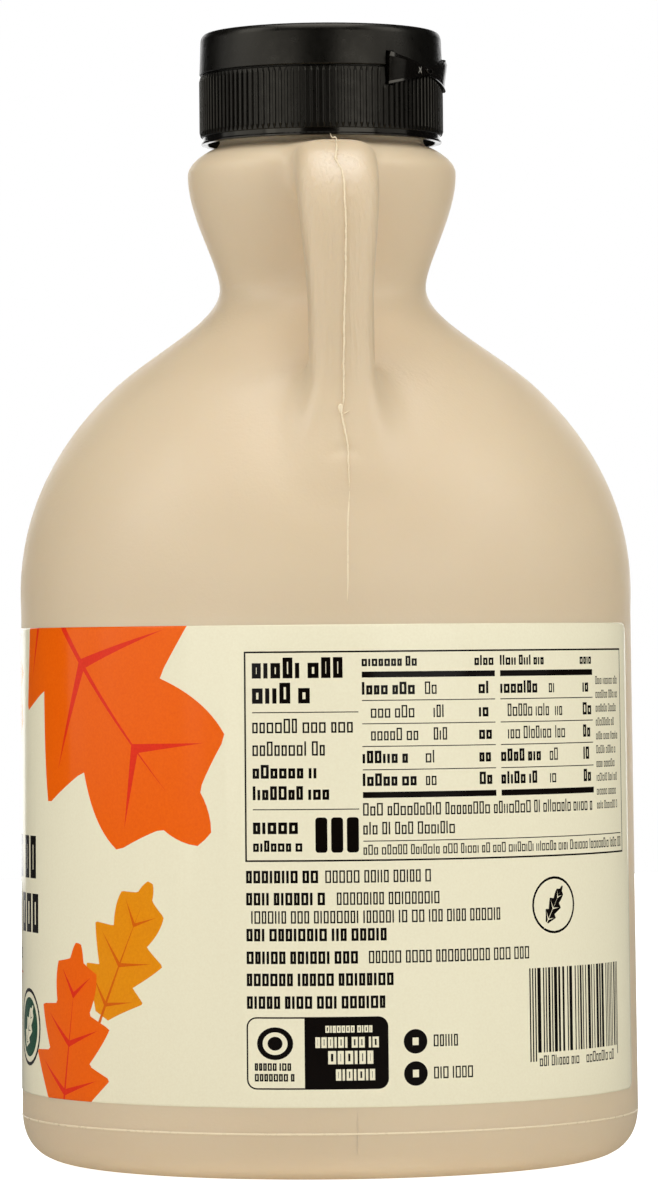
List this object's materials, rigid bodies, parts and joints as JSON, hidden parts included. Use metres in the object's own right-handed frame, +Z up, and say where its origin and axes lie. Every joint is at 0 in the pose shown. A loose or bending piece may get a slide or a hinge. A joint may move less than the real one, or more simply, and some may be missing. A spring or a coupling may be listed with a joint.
{
  "type": "maple syrup jug",
  "caption": "Round blown plastic syrup jug with a waisted neck, a finger handle from collar to shoulder, a wrap-round printed label and a shut black flip-top closure.",
  "frame": {"origin": "middle of the ring that the jug stands on, on its axis", "axes": "+Z up along the jug's axis, the handle towards -Y, the label's front panel towards -X and its gap towards +X"},
  "size_m": [0.1026, 0.1026, 0.1876],
  "materials": {
    "jug_plastic": "satin beige blown polyethylene with faint mould lines",
    "label_film": "cream self-adhesive label with orange leaf shapes and plain dark blocks",
    "closure_plastic": "semi-gloss black moulded polypropylene with fine grip ribs"
  },
  "bodies": {
    "root": {"jug": "jug_plastic", "label": "label_film", "closure": "closure_plastic"}
  },
  "joints": []
}
